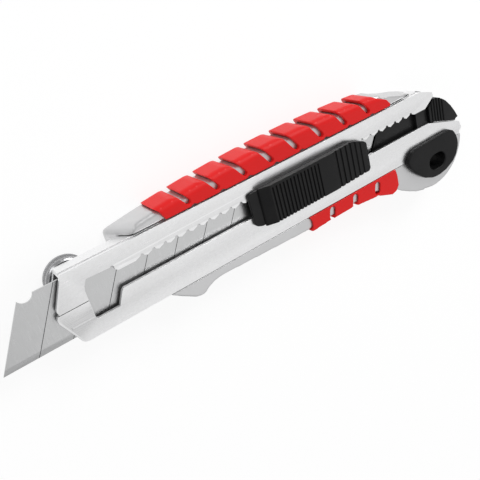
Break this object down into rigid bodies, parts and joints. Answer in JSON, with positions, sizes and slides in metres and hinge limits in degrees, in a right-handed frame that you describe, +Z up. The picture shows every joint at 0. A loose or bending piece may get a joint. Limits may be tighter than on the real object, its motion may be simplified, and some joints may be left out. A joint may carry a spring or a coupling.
{
  "type": "utility knife",
  "caption": "Snap-off utility knife with a ratchet slider, a thumb-wheel blade lock, a ribbed rubber grip, a pull-out spare-blade magazine and a hanging hole in the heel.",
  "frame": {"origin": "centre of the handle's length on the blade's centre line, at the flat back the knife lies on", "axes": "+X from the blade to the heel, +Y towards the spine grip, +Z up from the flat back to the slider side"},
  "size_m": [0.1738, 0.0432, 0.0141],
  "materials": {
    "cast_metal": "bead-blasted die casting",
    "sheet_steel": "fine brushed stainless sheet",
    "grip_rubber": "smooth moulded rubber",
    "black_rubber": "soft moulded rubber",
    "black_plastic": "fine-textured moulded plastic",
    "plated_steel": "zinc plated",
    "blade_steel": "ground carbon steel",
    "spring_steel": "tempered strip",
    "wheel_metal": "turned with a milled rim",
    "brass": "plain"
  },
  "bodies": {
    "handle": {"body_casting": "cast_metal", "blade_channel": "sheet_steel", "ratchet_plate": "sheet_steel", "guide_plate": "sheet_steel", "upper_grip": "grip_rubber", "lower_grip": "grip_rubber", "heel_insert": "black_rubber", "nose_bed": "black_plastic", "bed_rivets": "plated_steel", "body_screws": "plated_steel"},
    "slider": {"blade": "blade_steel", "blade_carrier": "plated_steel", "carrier_stud": "plated_steel", "slider_base": "black_plastic", "slider_cap": "black_plastic", "slider_rivets": "plated_steel", "ratchet_spring": "spring_steel"},
    "wheel": {"lock_wheel": "wheel_metal", "lock_stud": "plated_steel", "wheel_washer": "plated_steel"},
    "pad": {"pressure_pad": "brass"},
    "magazine": {"magazine_tray": "black_plastic", "magazine_cap": "black_plastic", "cap_pin": "plated_steel", "magazine_spring": "spring_steel", "spare_blade_1": "blade_steel", "spare_blade_2": "blade_steel", "spare_blade_3": "blade_steel"}
  },
  "joints": [
    {"name": "blade_slide", "type": "slide", "parent": "handle", "child": "slider", "axis": [1, 0, 0], "range_m": [-0.045, 0.0225], "deforming": ["ratchet_spring"]},
    {"name": "lock_turn", "type": "hinge", "parent": "handle", "child": "wheel", "pos_m": [-0.0695, 0.0049, 0.002], "axis": [0, 0, 1], "range_deg": [0, 180]},
    {"name": "pad_slide", "type": "slide", "parent": "handle", "child": "pad", "axis": [0, 0, 1], "range_m": [0, 0.00035]},
    {"name": "magazine_slide", "type": "slide", "parent": "handle", "child": "magazine", "axis": [1, 0, 0], "range_m": [0, 0.145]}
  ],
  "couplings": [
    {"joint": "pad_slide", "follows": "lock_turn", "m_per_rad": 0.0001114}
  ]
}
